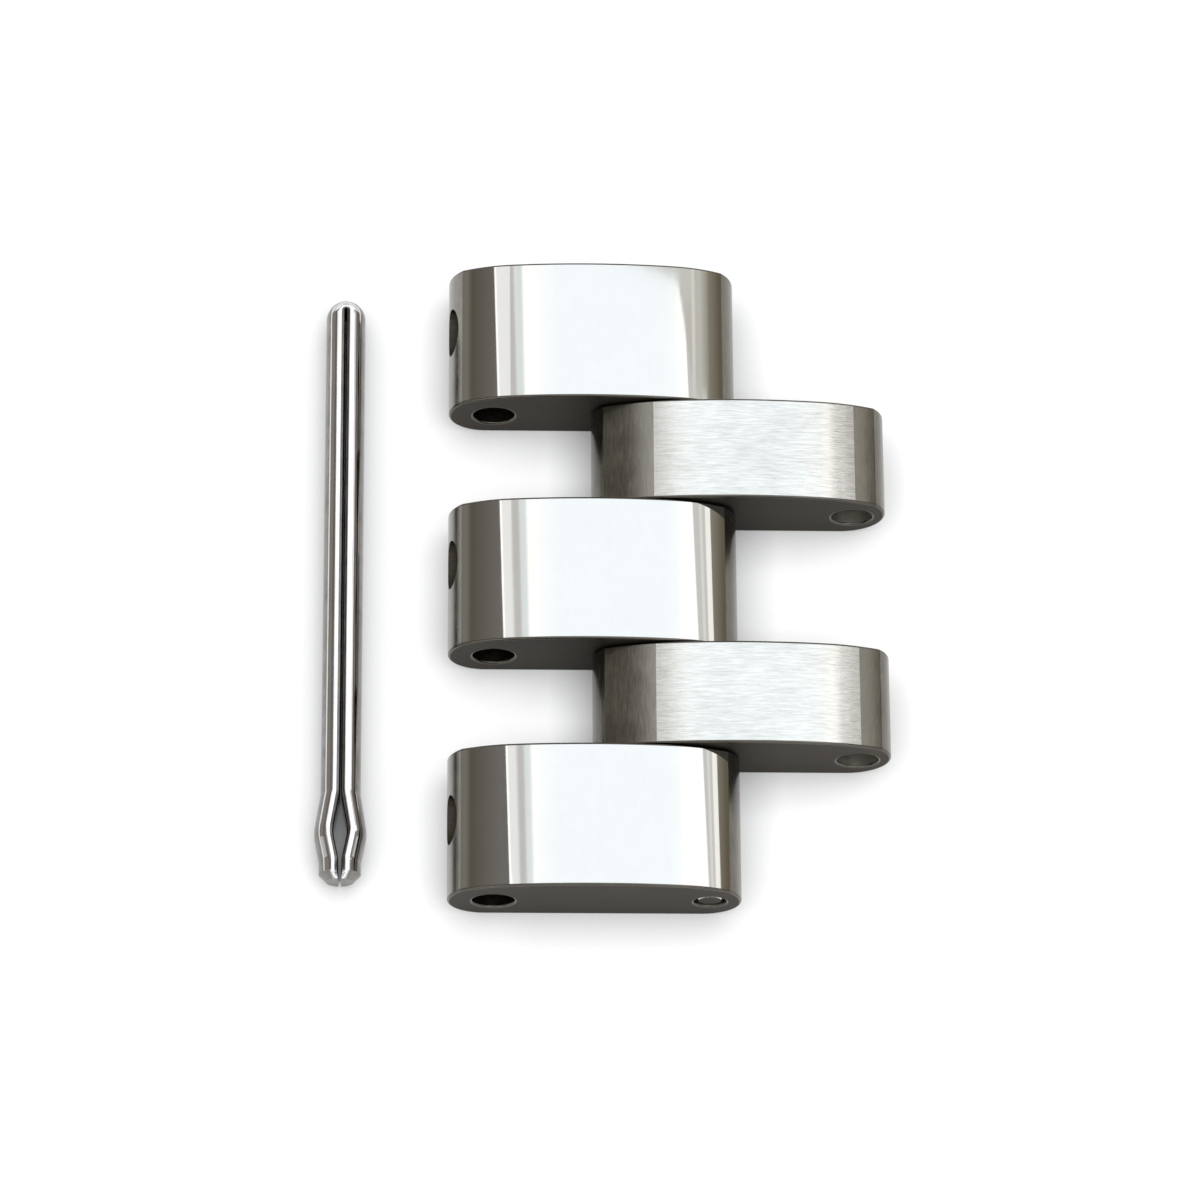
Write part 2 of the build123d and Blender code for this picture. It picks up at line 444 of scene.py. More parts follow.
class LinkTree(PieceTree):
    """Geometry Nodes that carry a side outline across the bracelet and drill it."""

    NAME = "link_across_the_bracelet"
    LINE = "Outline"
    SIZES = (
        "Width", "Edge Break", "Bore Height", "First Bore Place", "First Bore Radius",
        "Second Bore Place", "Second Bore Radius", "Nose Hole Width", "Nose Hole Rise",
        "Nose Hole Depth", "Nose Hole Height", "Nose Hole Shift", "Nose Place", "Back Face",
        "Crease Height", "Middle Place", "Crown Start", "Crown End",
    )
    FINISHES = (
        "Crown Finish", "Shoulder Finish", "Nose Finish", "Tail Finish", "Side Finish",
        "Bore Finish", "Rim Finish",
    )
    CROWN_LEAN = math.cos(math.radians(60))
    RIM_LEAN = math.sin(math.radians(8))
    BORE_STEPS = 96
    RIM_STEPS = 4
    DRILL_LENGTH = 2.0

    def fill(self) -> None:
        """Sweeps the piece, drills its nose and finishes its top."""
        self.finish(self.nose_hole(self.body()))

    def wall_section(self) -> bpy.types.Node:
        """Makes the line across the bracelet that walls follow, with a round at both ends.

        Returns:
            The node whose curve is the section.
        """
        inset, across = (
            self.add("ShaderNodeMath", {"operation": "MULTIPLY"}, {0: self.inputs[name], 1: -1.0})
            for name in ("Edge Break", "Width")
        )
        corners = [(inset, 0.0), (0.0, 0.0), (0.0, across), (inset, across)]
        points = [self.add("ShaderNodeCombineXYZ", None, {0: x, 1: y}) for x, y in corners]
        section = self.add("GeometryNodeCurvePrimitiveQuadrilateral", {"mode": "POINTS"},
                           {f"Point {i}": point for i, point in enumerate(points, 1)})
        opened = self.add("GeometryNodeSetSplineCyclic", None, {0: section, "Cyclic": False})
        return self.add("GeometryNodeFilletCurve", {"mode": "POLY"},
                        {0: opened, "Count": self.RIM_STEPS, "Radius": self.inputs["Edge Break"],
                         "Limit Radius": True})

    def bore(self, which: str) -> bpy.types.Node:
        """Makes the mouth of a bore as a circle that runs clockwise, so its wall faces inwards.

        Args:
            which: first or second, as the named inputs say.

        Returns:
            The node whose curve is the circle.
        """
        circle = self.add("GeometryNodeCurvePrimitiveCircle", {"mode": "RADIUS"},
                          {"Resolution": self.BORE_STEPS,
                           "Radius": self.inputs[which + " Bore Radius"]})
        place = self.add("ShaderNodeCombineXYZ", None,
                         {0: self.inputs[which + " Bore Place"], 1: self.inputs["Bore Height"]})
        placed = self.add("GeometryNodeTransform", None, {0: circle, "Translation": place})
        return self.add("GeometryNodeReverseCurve", None, {0: placed})

    def body(self) -> bpy.types.Node:
        """Sweeps the walls, closes both side faces and stands the piece in its place.

        Returns:
            The node whose mesh is the closed piece, without the hole in its nose.
        """
        outline = self.add("GeometryNodeMeshToCurve", None, {0: self.inputs["Outline"]})
        section = self.wall_section()
        bores = self.add("GeometryNodeJoinGeometry")
        for which in ("Second", "First"):
            self.tree.links.new(self.bore(which).outputs[0], bores.inputs[0])
        bore_walls = self.add("GeometryNodeCurveToMesh", None,
                              {"Curve": bores, "Profile Curve": section})
        # Bore walls take the bore finish; in the nose bores its dark tint is painted shade.
        bore_zone = self.add("GeometryNodeSetMaterial", None,
                             {0: bore_walls, "Material": self.inputs["Bore Finish"]})
        outer_wall = self.add("GeometryNodeCurveToMesh", None,
                              {"Curve": outline, "Profile Curve": section})
        nose_zone = self.add("GeometryNodeSetMaterial", None,
                             {0: outer_wall, "Material": self.inputs["Nose Finish"]})
        reach = self.add("ShaderNodeSeparateXYZ", None, {0: self.add("GeometryNodeInputPosition")})
        tail = self.add("FunctionNodeCompare",
                        {"data_type": "FLOAT", "operation": "GREATER_THAN"},
                        {0: reach.outputs[0], 1: self.inputs["Middle Place"]})
        # The tail half takes the tail finish, whose darker tint is painted shade.
        tail_zone = self.add("GeometryNodeSetMaterial", None,
                             {0: nose_zone, "Selection": tail,
                              "Material": self.inputs["Tail Finish"]})
        swept = self.add("GeometryNodeJoinGeometry")
        self.tree.links.new(tail_zone.outputs[0], swept.inputs[0])
        self.tree.links.new(bore_zone.outputs[0], swept.inputs[0])
        lean = self.add("ShaderNodeSeparateXYZ", None, {0: self.add("GeometryNodeInputNormal")})
        leaning = self.add("ShaderNodeMath", {"operation": "ABSOLUTE"}, {0: lean.outputs[2]})
        rounded = self.add("FunctionNodeCompare",
                           {"data_type": "FLOAT", "operation": "GREATER_THAN"},
                           {0: leaning, 1: self.RIM_LEAN})
        # The rounded rims take the rim finish, whose dark tint is painted shade.
        rim_zone = self.add("GeometryNodeSetMaterial", None,
                            {0: swept, "Selection": rounded,
                             "Material": self.inputs["Rim Finish"]})
        walls = self.add("GeometryNodeFlipFaces", None, {0: rim_zone})

        neighbours = self.add("GeometryNodeInputMeshEdgeNeighbors")
        rim = self.add("FunctionNodeCompare", {"data_type": "INT", "operation": "EQUAL"},
                       {2: neighbours, 3: 1})
        place = self.add("GeometryNodeInputPosition")
        height = self.add("ShaderNodeSeparateXYZ", None, {0: place})
        middle = self.add("ShaderNodeMath", {"operation": "MULTIPLY"},
                          {0: self.inputs["Width"], 1: 0.5})
        near = self.add("FunctionNodeCompare", {"data_type": "FLOAT", "operation": "LESS_THAN"},
                        {0: height.outputs[2], 1: middle})
        near_rim = self.add("FunctionNodeBooleanMath", {"operation": "AND"}, {0: rim, 1: near})
        rims = self.add("GeometryNodeMeshToCurve", None, {0: walls, "Selection": near_rim})
        filled = self.add("GeometryNodeFillCurve", {"mode": "NGONS"}, {0: rims})
        # Both side faces take the side finish, whose dark tint is painted shade.
        far_face = self.add("GeometryNodeSetMaterial", None,
                            {0: filled, "Material": self.inputs["Side Finish"]})
        near_face = self.add("GeometryNodeFlipFaces", None, {0: far_face})
        rise = self.add("ShaderNodeCombineXYZ", None, {2: self.inputs["Width"]})
        lifted = self.add("GeometryNodeTransform", None, {0: far_face, "Translation": rise})
        parts = self.add("GeometryNodeJoinGeometry")
        for part in (walls, near_face, lifted):
            self.tree.links.new(part.outputs[0], parts.inputs[0])
        welded = self.add("GeometryNodeMergeByDistance", None,
                          {0: parts, "Distance": WELD_DISTANCE})
        stand = self.add("ShaderNodeCombineXYZ", None,
                         {0: self.inputs["Nose Place"], 1: self.inputs["Back Face"]})
        return self.add("GeometryNodeTransform", None,
                        {0: welded, "Translation": stand, "Rotation": Euler((math.pi / 2, 0, 0))})

    def nose_hole(self, body: bpy.types.Node) -> bpy.types.Node:
        """Drills the hole from the nose to the first bore, where the piece has one.

        Args:
            body: the node whose mesh is drilled.

        Returns:
            The node whose mesh is drilled, or left whole if the hole's width is 0.
        """
        drill = self.add("GeometryNodeMeshCylinder", {"fill_type": "NGON"},
                         {"Vertices": self.BORE_STEPS, "Radius": 0.5,
                          "Depth": self.DRILL_LENGTH})
        oval = self.add("ShaderNodeCombineXYZ", None,
                        {0: self.inputs["Nose Hole Rise"],
                         1: self.inputs["Nose Hole Width"], 2: 1.0})
        half_width = self.add("ShaderNodeMath", {"operation": "MULTIPLY"},
                              {0: self.inputs["Width"], 1: -0.5})
        middle = self.add("ShaderNodeMath", {"operation": "ADD"},
                          {0: self.inputs["Back Face"], 1: half_width})
        across = self.add("ShaderNodeMath", {"operation": "ADD"},
                          {0: middle, 1: self.inputs["Nose Hole Shift"]})
        end = self.add("ShaderNodeMath", {"operation": "ADD"},
                       {0: self.inputs["Nose Place"], 1: self.inputs["Nose Hole Depth"]})
        start = self.add("ShaderNodeMath", {"operation": "SUBTRACT"},
                         {0: end, 1: self.DRILL_LENGTH / 2})
        place = self.add("ShaderNodeCombineXYZ", None,
                         {0: start, 1: across, 2: self.inputs["Nose Hole Height"]})
        placed = self.add("GeometryNodeTransform", None,
                          {0: drill, "Translation": place, "Scale": oval,
                           "Rotation": Euler((0, math.pi / 2, 0))})
        # The hole's wall takes the bore finish, whose dark tint is painted shade.
        finished = self.add("GeometryNodeSetMaterial", None,
                            {0: placed, "Material": self.inputs["Bore Finish"]})
        drilled = self.add("GeometryNodeMeshBoolean",
                           {"operation": "DIFFERENCE", "solver": "EXACT"},
                           {0: body, 1: finished})
        has_hole = self.add("FunctionNodeCompare",
                            {"data_type": "FLOAT", "operation": "GREATER_THAN"},
                            {0: self.inputs["Nose Hole Width"], 1: 0.0})
        return self.add("GeometryNodeSwitch", {"input_type": "GEOMETRY"},
                        {"Switch": has_hole, "False": body, "True": drilled})

    def finish(self, body: bpy.types.Node) -> None:
        """Sets the finish of the shoulders and of the crown between them, and ends the tree.

        Args:
            body: the node whose mesh is finished.
        """
        realized = self.add("GeometryNodeRealizeInstances", None, {0: body})
        place = self.add("ShaderNodeSeparateXYZ", None, {0: self.add("GeometryNodeInputPosition")})
        lean = self.add("ShaderNodeSeparateXYZ", None, {0: self.add("GeometryNodeInputNormal")})
        above = self.add("FunctionNodeCompare",
                         {"data_type": "FLOAT", "operation": "GREATER_THAN"},
                         {0: place.outputs[2], 1: self.inputs["Crease Height"]})
        upwards = self.add("FunctionNodeCompare",
                           {"data_type": "FLOAT", "operation": "GREATER_THAN"},
                           {0: lean.outputs[2], 1: self.CROWN_LEAN})
        aside = self.add("ShaderNodeMath", {"operation": "ABSOLUTE"}, {0: lean.outputs[1]})
        inner = self.add("FunctionNodeCompare",
                         {"data_type": "FLOAT", "operation": "LESS_THAN"},
                         {0: aside, 1: self.RIM_LEAN})
        high = self.add("FunctionNodeBooleanMath", {"operation": "AND"}, {0: above, 1: upwards})
        top = self.add("FunctionNodeBooleanMath", {"operation": "AND"}, {0: high, 1: inner})
        finished = self.add("GeometryNodeSetMaterial", None,
                            {0: realized, "Selection": top,
                             "Material": self.inputs["Shoulder Finish"]})
        crown = top
        for limit, side in (("Crown Start", "GREATER_THAN"), ("Crown End", "LESS_THAN")):
            edge = self.add("ShaderNodeMath", {"operation": "ADD"},
                            {0: self.inputs["Nose Place"], 1: self.inputs[limit]})
            within = self.add("FunctionNodeCompare", {"data_type": "FLOAT", "operation": side},
                              {0: place.outputs[0], 1: edge})
            crown = self.add("FunctionNodeBooleanMath", {"operation": "AND"},
                             {0: crown, 1: within})
        finished = self.add("GeometryNodeSetMaterial", None,
                            {0: finished, "Selection": crown,
                             "Material": self.inputs["Crown Finish"]})
        self.add("NodeGroupOutput", None, {0: finished})


class WireTree(PieceTree):
    """Geometry Nodes that sweep a half-round section along the wire's run and shape its ends."""

    NAME = "wire_along_its_run"
    LINE = "Run"
    SIZES = (
        "Wire Radius", "Run Offset", "Seam Gap", "Seam Edge Radius", "Crest Drop", "Crest Rise",
        "Seam Reach", "Fold Place", "Tip Chamfer", "Tip Radius", "Tip Place", "Flank Lean",
    )
    PLACES = ("Axis",)
    FINISHES = ("Finish", "Flank Finish")
    ARC_POINTS = 49
    SEAM_EDGE_STEPS = 6.0

    def fill(self) -> None:
        """Sweeps the wire, cuts its tips, carries its seam over the fold and finishes it."""
        wire = self.wire(self.crested(self.half_round()))
        self.finish(self.longer_seam(self.cut_tips(wire)))

    def half_round(self) -> bpy.types.Node:
        """Makes half the round section of the pin, with its two seam edges rounded.

        Returns:
            The node whose curve is the closed section.
        """
        half_gap = self.add("ShaderNodeMath", {"operation": "MULTIPLY"},
                            {0: self.inputs["Seam Gap"], 1: 0.5})
        share = self.add("ShaderNodeMath", {"operation": "DIVIDE"},
                         {0: half_gap, 1: self.inputs["Wire Radius"]})
        half_turn = self.add("ShaderNodeMath", {"operation": "ARCCOSINE"}, {0: share})
        start = self.add("ShaderNodeMath", {"operation": "MULTIPLY"}, {0: half_turn, 1: -1.0})
        sweep = self.add("ShaderNodeMath", {"operation": "MULTIPLY"}, {0: half_turn, 1: 2.0})
        arc = self.add("GeometryNodeCurveArc", {"mode": "RADIUS"},
                       {"Resolution": self.ARC_POINTS, "Radius": self.inputs["Wire Radius"],
                        "Start Angle": start, "Sweep Angle": sweep})
        ends = self.add("GeometryNodeCurveEndpointSelection")
        marked = self.add("GeometryNodeStoreNamedAttribute",
                          {"data_type": "BOOLEAN", "domain": "POINT"},
                          {0: arc, "Name": "seam_edge", "Value": ends})
        closed = self.add("GeometryNodeSetSplineCyclic", None, {0: marked, "Cyclic": True})
        seam_edge = self.add("GeometryNodeInputNamedAttribute", {"data_type": "BOOLEAN"},
                             {"Name": "seam_edge"})
        steps = self.add("ShaderNodeMath", {"operation": "MULTIPLY"},
                         {0: seam_edge, 1: self.SEAM_EDGE_STEPS})
        return self.add("GeometryNodeFilletCurve", {"mode": "POLY"},
                        {0: closed, "Count": steps, "Radius": self.inputs["Seam Edge Radius"]})

    def crested(self, half_round: bpy.types.Node) -> bpy.types.Node:
        """Raises a low crest on the section, and moves it to where the run passes through it.

        The section's -Y side is on top once it is swept.

        Args:
            half_round: the node whose curve is the section.

        Returns:
            The node whose curve is the section as it is swept.
        """
        spot = self.add("ShaderNodeSeparateXYZ", None, {0: self.add("GeometryNodeInputPosition")})
        out_share = self.add("ShaderNodeMath", {"operation": "DIVIDE"},
                             {0: spot.outputs[0], 1: self.inputs["Wire Radius"]})
        in_share = self.add("ShaderNodeMath", {"operation": "SUBTRACT"}, {0: 1.0, 1: out_share})
        bowed = self.add("ShaderNodeMath", {"operation": "POWER"}, {0: in_share, 1: 2.0})
        dropped = self.add("ShaderNodeMath", {"operation": "MULTIPLY"},
                           {0: bowed, 1: self.inputs["Crest Drop"]})
        left = self.add("ShaderNodeMath", {"operation": "SUBTRACT"}, {0: 1.0, 1: dropped})
        raised = self.add("ShaderNodeMath", {"operation": "MULTIPLY"},
                          {0: left, 1: self.inputs["Crest Rise"]})
        high = self.add("ShaderNodeMath", {"operation": "MULTIPLY"},
                        {0: raised, 1: spot.outputs[1]})
        upper = self.add("FunctionNodeCompare",
                         {"data_type": "FLOAT", "operation": "LESS_THAN"},
                         {0: spot.outputs[1], 1: 0.0})
        crest = self.add("ShaderNodeCombineXYZ", None, {0: spot.outputs[0], 1: high})
        crested = self.add("GeometryNodeSetPosition", None,
                           {0: half_round, "Selection": upper, "Position": crest})
        back = self.add("ShaderNodeMath", {"operation": "MULTIPLY"},
                        {0: self.inputs["Run Offset"], 1: -1.0})
        back_off = self.add("ShaderNodeCombineXYZ", None, {0: back})
        return self.add("GeometryNodeTransform", None, {0: crested, "Translation": back_off})

    def wire(self, section: bpy.types.Node) -> bpy.types.Node:
        """Sweeps the section along the run."""
        run = self.add("GeometryNodeMeshToCurve", None, {0: self.inputs["Run"]})
        return self.add("GeometryNodeCurveToMesh", None,
                        {"Curve": run, "Profile Curve": section, "Fill Caps": True})

    def cut_tips(self, wire: bpy.types.Node) -> bpy.types.Node:
        """Draws the tips in to a cone round the pin's axis.

        Args:
            wire: the node whose mesh is the swept wire.

        Returns:
            The node whose mesh has chamfered tips.
        """
        place = self.add("GeometryNodeInputPosition")
        parts = self.add("ShaderNodeSeparateXYZ", None, {0: place})
        depth = self.add("ShaderNodeMath", {"operation": "SUBTRACT"},
                         {0: parts.outputs[1], 1: self.inputs["Tip Place"]})
        cut = self.add("ShaderNodeMath", {"operation": "SUBTRACT"},
                       {0: self.inputs["Tip Radius"], 1: self.inputs["Tip Chamfer"]})
        limit = self.add("ShaderNodeMath", {"operation": "ADD"}, {0: cut, 1: depth})
        across = self.add("ShaderNodeCombineXYZ", None,
                          {0: parts.outputs[0], 2: parts.outputs[2]})
        reach = self.add("ShaderNodeVectorMath", {"operation": "LENGTH"}, {0: across})
        over = self.add("ShaderNodeMath", {"operation": "DIVIDE"},
                        {0: limit, 1: reach.outputs["Value"]})
        kept = self.add("ShaderNodeMath", {"operation": "MINIMUM"}, {0: over, 1: 1.0})
        near = self.add("ShaderNodeVectorMath", {"operation": "SCALE"},
                        {0: across, "Scale": kept})
        along = self.add("ShaderNodeCombineXYZ", None, {1: parts.outputs[1]})
        moved = self.add("ShaderNodeVectorMath", {"operation": "ADD"}, {0: near, 1: along})
        return self.add("GeometryNodeSetPosition", None, {0: wire, "Position": moved})

    def longer_seam(self, wire: bpy.types.Node) -> bpy.types.Node:
        """Carries the seam a little way over the fold.

        Args:
            wire: the node whose mesh is the wire with its tips cut.

        Returns:
            The node whose mesh has the longer seam.
        """
        parts = self.add("ShaderNodeSeparateXYZ", None, {0: self.add("GeometryNodeInputPosition")})
        past_fold = self.add("ShaderNodeMath", {"operation": "SUBTRACT"},
                             {0: parts.outputs[1], 1: self.inputs["Fold Place"]})
        from_fold = self.add("ShaderNodeCombineXYZ", None, {0: parts.outputs[0], 1: past_fold})
        fold_reach = self.add("ShaderNodeVectorMath", {"operation": "LENGTH"}, {0: from_fold})
        inner = self.add("ShaderNodeMapRange", None,
                         {"Value": fold_reach.outputs["Value"],
                          "From Max": self.inputs["Wire Radius"], "To Min": 1.0, "To Max": 0.0})
        inner_bow = self.add("ShaderNodeMath", {"operation": "POWER"}, {0: inner, 1: 2.0})
        further = self.add("ShaderNodeMath", {"operation": "MULTIPLY"},
                           {0: inner_bow, 1: self.inputs["Seam Reach"]})
        in_fold = self.add("FunctionNodeCompare",
                           {"data_type": "FLOAT", "operation": "GREATER_THAN"},
                           {0: past_fold, 1: -WELD_DISTANCE})
        shift = self.add("ShaderNodeCombineXYZ", None, {1: further})
        return self.add("GeometryNodeSetPosition", None,
                        {0: wire, "Selection": in_fold, "Offset": shift})

    def finish(self, wire: bpy.types.Node) -> None:
        """Puts the pin in its place, finishes its top and its flanks, and ends the tree.

        Args:
            wire: the node whose mesh is finished.
        """
        placed = self.add("GeometryNodeTransform", None,
                          {0: wire, "Translation": self.inputs["Axis"]})
        realized = self.add("GeometryNodeRealizeInstances", None, {0: placed})
        drawn = self.add("GeometryNodeSetMaterial", None,
                         {0: realized, "Material": self.inputs["Finish"]})
        lean = self.add("ShaderNodeSeparateXYZ", None, {0: self.add("GeometryNodeInputNormal")})
        # Faces that lean sideways or down take the flank finish, whose darker tint is painted shade.
        flank = self.add("FunctionNodeCompare",
                         {"data_type": "FLOAT", "operation": "LESS_THAN"},
                         {0: lean.outputs[2], 1: self.inputs["Flank Lean"]})
        finished = self.add("GeometryNodeSetMaterial", None,
                            {0: drawn, "Selection": flank,
                             "Material": self.inputs["Flank Finish"]})
        self.add("NodeGroupOutput", None, {0: finished})


def set_inputs(modifier: bpy.types.Modifier, values: dict[str, Any]) -> None:
    """Gives a Geometry Nodes modifier its values, by the identifiers of its named inputs.

    Args:
        modifier: the modifier, before its object is first evaluated.
        values: a value for each named input.
    """
    identifiers = {
        item.name: item.identifier for item in modifier.node_group.interface.items_tree
        if item.in_out == "INPUT"
    }
    for name, value in values.items():
        modifier[identifiers[name]] = value


def bake(host: bpy.types.Object, name: str) -> bpy.types.Object:
    """Turns an object and its modifiers into a plain mesh object, and removes the first one.

    Args:
        host: the object with its modifiers.
        name: the name of the new object.

    Returns:
        The new object, at the origin.
    """
    depsgraph = bpy.context.evaluated_depsgraph_get()
    mesh = bpy.data.meshes.new_from_object(host.evaluated_get(depsgraph), depsgraph=depsgraph)
    mesh.name = name
    bpy.data.objects.remove(host)
    shade_by_area(mesh)
    piece = bpy.data.objects.new(name, mesh)
    bpy.context.scene.collection.objects.link(piece)
    return piece


def shade_by_area(mesh: bpy.types.Mesh) -> None:
    """Shades a mesh smoothly, so that each corner takes its normal from the larger faces round it.

    Flat faces and long arcs then mirror truly up to their rims, and the small rounds bend between.

    Args:
        mesh: the mesh, whose faces further apart than SHARP_ANGLE keep a sharp edge.
    """
    normals = [face.normal.copy() for face in mesh.polygons]
    areas = [face.area for face in mesh.polygons]
    around: list[list[int]] = [[] for _ in mesh.vertices]
    for face in mesh.polygons:
        for corner in face.vertices:
            around[corner].append(face.index)
    least = math.cos(SHARP_ANGLE)
    corners = []
    for face in mesh.polygons:
        for corner in face.vertices:
            near = [i for i in around[corner] if normals[i].dot(normals[face.index]) > least]
            corners.append(sum((normals[i] * areas[i] for i in near), Vector()).normalized())
    mesh.shade_smooth()
    mesh.normals_split_custom_set(corners)


@dataclass(frozen=True)
class Bore:
    """A bore across a link piece: how far it is from the nose, and its radius."""

    place: float
    radius: float


@dataclass(frozen=True)
class SteelPiece:
    """One solid piece of steel: its name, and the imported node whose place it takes."""

    name: str
    node: str
    body: str
    slot: str

    def stand_in(self, piece: bpy.types.Object) -> bpy.types.Object:
        """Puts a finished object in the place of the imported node.

        Args:
            piece: the finished object, at the origin.

        Returns:
            The same object.
        """
        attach(piece, self.body)
        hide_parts(self.node)
        return piece

    def make_from_line(self, line: list[Vector], closed: bool, tree: PieceTree,
                       values: dict[str, Any]) -> bpy.types.Object:
        """Makes the piece from a line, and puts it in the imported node's place.

        Args:
            line: points that the tree starts from.
            closed: whether the last point joins the first.
            tree: the nodes that turn the line into the piece.
            values: the tree's inputs by name.

        Returns:
            The finished object.
        """
        steps = len(line) if closed else len(line) - 1
        edges = [(i, (i + 1) % len(line)) for i in range(steps)]
        mesh = bpy.data.meshes.new(self.name + "_line")
        mesh.from_pydata([point.to_3d() for point in line], edges, [])
        host = bpy.data.objects.new(self.name + "_line", mesh)
        bpy.context.scene.collection.objects.link(host)
        modifier = host.modifiers.new("nodes", "NODES")
        modifier.node_group = tree.tree
        set_inputs(modifier, values)
        return self.stand_in(bake(host, self.name))


@dataclass(frozen=True)
class LinkPiece(SteelPiece):
    """One of the five pieces of the link, made from its side outline.

    crown_insets are how far from the nose the crown's finish starts, and how far before the tail
    it ends. The shoulder's finish lies beyond both.
    """

    outline: SideOutline
    first_bore: Bore
    second_bore: Bore
    bore_height: float
    edge_break: float
    crown: SteelFinish
    nose: SteelFinish
    bore: SteelFinish
    shoulder: SteelFinish = GROUND
    # The tail finish is the ground finish with painted shade.
    tail: SteelFinish = GROUND_PAINTED_SHADE
    # The side finish's dark tint is painted shade.
    side: SteelFinish = TUMBLED_PAINTED_SHADE
    # The rim finish's dark tint is painted shade.
    rim: SteelFinish = EDGE_PAINTED_SHADE
    crown_insets: tuple[float, float] = (0.0, 0.0)
    nose_hole: NoseHole = NoseHole()

    def build(self, tree: LinkTree, materials: Materials) -> bpy.types.Object:
        """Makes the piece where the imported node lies, and puts it in the node's place.

        Args:
            tree: the nodes that turn an outline into a drilled piece.
            materials: the material of each finish.

        Returns:
            The finished object.
        """
        low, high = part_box(self.node)
        hole = self.nose_hole
        values = {
            "Width": high.y - low.y, "Edge Break": self.edge_break,
            "Bore Height": self.bore_height,
            "First Bore Place": self.first_bore.place,
            "First Bore Radius": self.first_bore.radius,
            "Second Bore Place": self.second_bore.place,
            "Second Bore Radius": self.second_bore.radius,
            "Nose Hole Width": hole.width, "Nose Hole Rise": hole.rise,
            "Nose Hole Depth": hole.depth, "Nose Hole Height": hole.height,
            "Nose Hole Shift": hole.shift, "Nose Place": low.x, "Back Face": high.y,
            "Crease Height": self.outline.crease_point.y, "Middle Place": self.outline.length / 2,
            "Crown Start": self.crown_insets[0],
            "Crown End": self.outline.length - self.crown_insets[1],
            "Crown Finish": materials[self.crown], "Shoulder Finish": materials[self.shoulder],
            "Nose Finish": materials[self.nose], "Tail Finish": materials[self.tail],
            "Side Finish": materials[self.side], "Bore Finish": materials[self.bore],
            "Rim Finish": materials[self.rim],
        }
        return self.make_from_line(self.outline.points(), True, tree, values)


class Side(Enum):
    """Where a piece of the link lies across the bracelet."""

    BACK = "back"
    CENTRE = "centre"
    FRONT = "front"


@dataclass(frozen=True)
class BraceletLink:
    """The five steel pieces of the link, side by side on the hinge pin.

    The outer polished pieces are pressed on the pin, and the other three turn on it. hole_shifts
    are how far the nose holes lie behind the middle of their pieces.
    """

    polished: SideOutline = SideOutline(
        length=8.75 * MM, thickness=2.85 * MM, shoulder_inset=1.88 * MM, shoulder_drop=0.16 * MM,
        crease_inset=0.40 * MM, crease_drop=0.65 * MM, nose_radius=1.15 * MM,
        crease_radius=0.05 * MM,
    )
    brushed: SideOutline = replace(
        polished, length=8.95 * MM, shoulder_inset=2.00 * MM, crease_inset=0.34 * MM,
        nose_radius=1.30 * MM,
    )
    overlap: float = 4.40 * MM
    edge_break: float = 0.07 * MM
    bore_height: float = 1.20 * MM
    hinge_inset: float = 0.94 * MM
    pressed_radius: float = 0.475 * MM
    turning_radius: float = 0.500 * MM
    nose_bore_inset: float = 1.38 * MM
    nose_bore_radius: float = 0.625 * MM
    tail_bore_inset: float = 1.00 * MM
    tail_bore_radius: float = 0.615 * MM
    nose_hole: NoseHole = NoseHole(
        width=1.54 * MM, rise=0.86 * MM, depth=nose_bore_inset, height=1.62 * MM,
    )
    hole_shifts: tuple[tuple[Side, float], ...] = (
        (Side.BACK, 0.36 * MM), (Side.CENTRE, 0.50 * MM), (Side.FRONT, 0.16 * MM),
    )
    brushed_insets: tuple[float, float] = (1.84 * MM, 0.98 * MM)

    def polished_piece(self, side: Side, hole_shift: float) -> LinkPiece:
        """Describes a polished piece, with a bore and an oval hole in its nose.

        Args:
            side: where the piece lies across the bracelet.
            hole_shift: how far its nose hole lies behind its middle.

        Returns:
            The piece with its sizes and finishes.
        """
        turns = side is Side.CENTRE
        hinge_radius = self.turning_radius if turns else self.pressed_radius
        return LinkPiece(
            name="polished_piece_" + side.value, node="polished_link_" + side.value,
            body="centre_piece" if turns else "outer_pieces", slot="polished_steel",
            outline=self.polished,
            first_bore=Bore(self.nose_bore_inset, self.nose_bore_radius),
            second_bore=Bore(self.polished.length - self.hinge_inset, hinge_radius),
            bore_height=self.bore_height, edge_break=self.edge_break,
            # The nose bore's dark tint is painted shade.
            crown=MIRROR, nose=GROUND, bore=DRILLED_PAINTED_SHADE,
            nose_hole=replace(self.nose_hole, shift=hole_shift),
        )

    def brushed_piece(self, side: Side) -> LinkPiece:
        """Describes a brushed piece, whose tail takes the next link's split pin.

        Args:
            side: where the piece lies across the bracelet.

        Returns:
            The piece with its sizes and finishes.
        """
        tail_bore_place = self.brushed.length - self.tail_bore_inset
        return LinkPiece(
            name="brushed_piece_" + side.value, node="brushed_link_" + side.value,
            body="brushed_piece_" + side.value, slot="brushed_steel", outline=self.brushed,
            first_bore=Bore(self.overlap - self.hinge_inset, self.turning_radius),
            second_bore=Bore(tail_bore_place, self.tail_bore_radius),
            bore_height=self.bore_height, edge_break=self.edge_break,
            # The brushed nose takes the ground finish with painted shade.
            crown=BRUSHED, nose=GROUND_PAINTED_SHADE, bore=REAMED, crown_insets=self.brushed_insets,
        )

    def pieces(self) -> list[LinkPiece]:
        """Gives the three polished pieces and the two brushed ones."""
        polished = [self.polished_piece(side, shift) for side, shift in self.hole_shifts]
        return polished + [self.brushed_piece(side) for side in (Side.BACK, Side.FRONT)]


